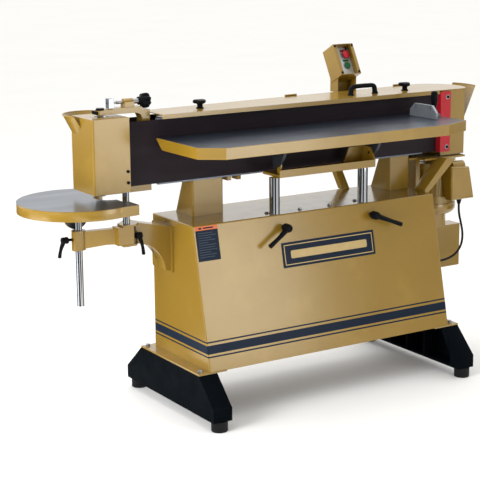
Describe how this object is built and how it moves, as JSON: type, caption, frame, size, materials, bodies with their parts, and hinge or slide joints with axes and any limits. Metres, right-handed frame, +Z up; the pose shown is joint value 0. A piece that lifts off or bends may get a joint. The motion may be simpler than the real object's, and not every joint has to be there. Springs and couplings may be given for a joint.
{
  "type": "oscillating edge sander",
  "caption": "Oscillating edge sander with horizontal abrasive belt, tilting main table, swinging end table and cast feet.",
  "frame": {"origin": "centre of the four foot anchor holes, at floor level", "axes": "+X along the belt towards the drive end, +Y to the back, +Z up"},
  "size_m": [2.0056, 0.6611, 1.2763],
  "materials": {
    "ochre_paint": "semi-gloss ochre enamel",
    "dark_cast": "dark navy-black enamel on a casting",
    "foot_rubber": "black rubber",
    "ground_iron": "ground cast iron top, painted edges",
    "chrome": "polished chrome",
    "steel": "plain machined steel",
    "drum_steel": "turned steel",
    "dark_iron": "dark cast iron with machined rims",
    "graphite": "graphite faced steel",
    "abrasive": "dark brown coated abrasive cloth",
    "black_plastic": "moulded black plastic",
    "cable_rubber": "black cable jacket",
    "red_paint": "red enamel",
    "panel_grey": "light grey panel",
    "red_button": "red mushroom button",
    "green_button": "green button"
  },
  "bodies": {
    "machine_frame": {"feet": "dark_cast", "foot_pads": "foot_rubber", "cabinet_shell": "ochre_paint", "back_panel": "ochre_paint", "post_guides": "steel", "hex_bolts": "steel", "cap_screws": "steel", "pedestals": "ochre_paint", "main_beam": "ochre_paint", "platen": "graphite", "rear_guard": "ochre_paint", "idler_guard": "ochre_paint", "dust_scoops": "ochre_paint", "drive_housing": "ochre_paint", "work_stop": "red_paint", "drive_platform": "ochre_paint", "diagonal_brace": "ochre_paint", "motor_bracket": "ochre_paint", "motor_body": "ochre_paint", "motor_bell": "ochre_paint", "gearbox_housing": "ochre_paint", "junction_box": "ochre_paint", "motor_cable": "cable_rubber", "cable_glands": "cable_rubber", "end_bracket": "ochre_paint", "end_column": "chrome", "control_box": "ochre_paint", "control_panel": "panel_grey", "switch_post": "ochre_paint"},
    "oscillating_unit": {"sanding_belt": "abrasive", "oscillation_yoke": "steel", "oscillating_slide": "steel"},
    "drive_drum": {"drive_drum": "drum_steel", "drive_spindle": "steel"},
    "idler_carriage": {"idler_bracket": "ochre_paint", "idler_shaft": "chrome", "tracking_post": "chrome"},
    "idler_drum": {"idler_drum": "drum_steel"},
    "tracking_knob": {"tracking_screw": "steel", "tracking_knob": "black_plastic"},
    "top_cover": {"top_cover": "ochre_paint", "cover_handle": "black_plastic"},
    "cover_knob_left": {"cover_knob_left": "black_plastic"},
    "cover_knob_right": {"cover_knob_right": "black_plastic"},
    "table_lift": {"table_posts": "chrome", "support_bar": "ochre_paint"},
    "table_tilt": {"work_table": "ground_iron", "table_trunnions": "dark_iron"},
    "post_lever_left": {"post_lever_left": "black_plastic"},
    "post_lever_right": {"post_lever_right": "black_plastic"},
    "miter_bar": {"miter_bar": "steel"},
    "miter_head": {"miter_head": "dark_iron"},
    "miter_handle": {"miter_handle": "black_plastic"},
    "end_arm": {"end_arm": "ochre_paint"},
    "end_lift": {"end_lift_post": "chrome"},
    "end_tilt": {"end_table": "ground_iron"},
    "end_lever_left": {"end_lever_left": "black_plastic"},
    "end_lever_right": {"end_lever_right": "black_plastic"},
    "stop_button": {"stop_button": "red_button"},
    "start_button": {"start_button": "green_button"}
  },
  "joints": [
    {"name": "belt_oscillation", "type": "slide", "parent": "machine_frame", "child": "oscillating_unit", "axis": [0, 0, 1], "range_m": [-0.00635, 0.00635]},
    {"name": "drive_spin", "type": "hinge", "parent": "oscillating_unit", "child": "drive_drum", "pos_m": [0.73078, 0.1148, 0.96], "axis": [0, 0, 1], "continuous": true},
    {"name": "belt_tension", "type": "slide", "parent": "oscillating_unit", "child": "idler_carriage", "axis": [1, 0, 0], "range_m": [0, 0.008]},
    {"name": "idler_spin", "type": "hinge", "parent": "idler_carriage", "child": "idler_drum", "pos_m": [-0.806, 0.0776, 0.96], "axis": [0, 0, 1], "continuous": true},
    {"name": "tracking_turn", "type": "hinge", "parent": "idler_carriage", "child": "tracking_knob", "pos_m": [-0.7, 0.0776, 1.14], "axis": [1, 0, 0], "range_deg": [-180, 180]},
    {"name": "cover_open", "type": "hinge", "parent": "machine_frame", "child": "top_cover", "pos_m": [0, 0.18731, 1.098], "axis": [0.9982, 0.0603, 0], "range_deg": [-70, 0]},
    {"name": "cover_knob_left_turn", "type": "hinge", "parent": "top_cover", "child": "cover_knob_left", "pos_m": [-0.4, 0.078, 1.1], "axis": [0, 0, 1], "range_deg": [-180, 180]},
    {"name": "cover_knob_right_turn", "type": "hinge", "parent": "top_cover", "child": "cover_knob_right", "pos_m": [0.551, 0.078, 1.1], "axis": [0, 0, 1], "range_deg": [-180, 180]},
    {"name": "table_height", "type": "slide", "parent": "machine_frame", "child": "table_lift", "axis": [0, 0, 1], "range_m": [-0.11, 0.06]},
    {"name": "table_tilt", "type": "hinge", "parent": "table_lift", "child": "table_tilt", "pos_m": [0, -0.03, 0.97], "axis": [1, 0, 0], "range_deg": [0, 45]},
    {"name": "post_lever_left_turn", "type": "hinge", "parent": "machine_frame", "child": "post_lever_left", "pos_m": [-0.172, -0.12056, 0.66], "axis": [0, 1, 0], "range_deg": [-60, 60]},
    {"name": "post_lever_right_turn", "type": "hinge", "parent": "machine_frame", "child": "post_lever_right", "pos_m": [0.233, -0.12056, 0.66], "axis": [0, 1, 0], "range_deg": [-60, 60]},
    {"name": "gauge_slide", "type": "slide", "parent": "table_tilt", "child": "miter_bar", "axis": [1, 0, 0], "range_m": [0, 0.06]},
    {"name": "gauge_swivel", "type": "hinge", "parent": "miter_bar", "child": "miter_head", "pos_m": [0.543, -0.115, 1.012], "axis": [0, 0, 1], "range_deg": [-45, 45]},
    {"name": "gauge_clamp", "type": "hinge", "parent": "miter_head", "child": "miter_handle", "pos_m": [0.543, -0.115, 1.05], "axis": [0, 0, 1], "range_deg": [-90, 90]},
    {"name": "end_arm_swing", "type": "hinge", "parent": "machine_frame", "child": "end_arm", "pos_m": [-0.74, 0.027, 0.673], "axis": [0, 0, 1], "range_deg": [-60, 0]},
    {"name": "end_table_height", "type": "slide", "parent": "end_arm", "child": "end_lift", "axis": [0, 0, 1], "range_m": [0, 0.022]},
    {"name": "end_table_tilt", "type": "hinge", "parent": "end_lift", "child": "end_tilt", "pos_m": [-0.895, 0.097, 0.742], "axis": [0, 1, 0], "range_deg": [0, 30]},
    {"name": "end_lever_left_turn", "type": "hinge", "parent": "end_arm", "child": "end_lever_left", "pos_m": [-0.943, 0.085, 0.668], "axis": [1, 0, 0], "range_deg": [-60, 60]},
    {"name": "end_lever_right_turn", "type": "hinge", "parent": "end_arm", "child": "end_lever_right", "pos_m": [-0.711, 0.015, 0.668], "axis": [1, 0, 0], "range_deg": [-40, 5]},
    {"name": "stop_press", "type": "slide", "parent": "machine_frame", "child": "stop_button", "axis": [0, 0.8829, -0.4695], "range_m": [0, 0.006], "stiffness_N_per_m": 900, "springref_m": -0.001},
    {"name": "start_press", "type": "slide", "parent": "machine_frame", "child": "start_button", "axis": [0, 0.8829, -0.4695], "range_m": [0, 0.004], "stiffness_N_per_m": 900, "springref_m": -0.001}
  ],
  "couplings": [
    {"joint": "idler_spin", "follows": "drive_spin", "ratio": 1.7323}
  ]
}
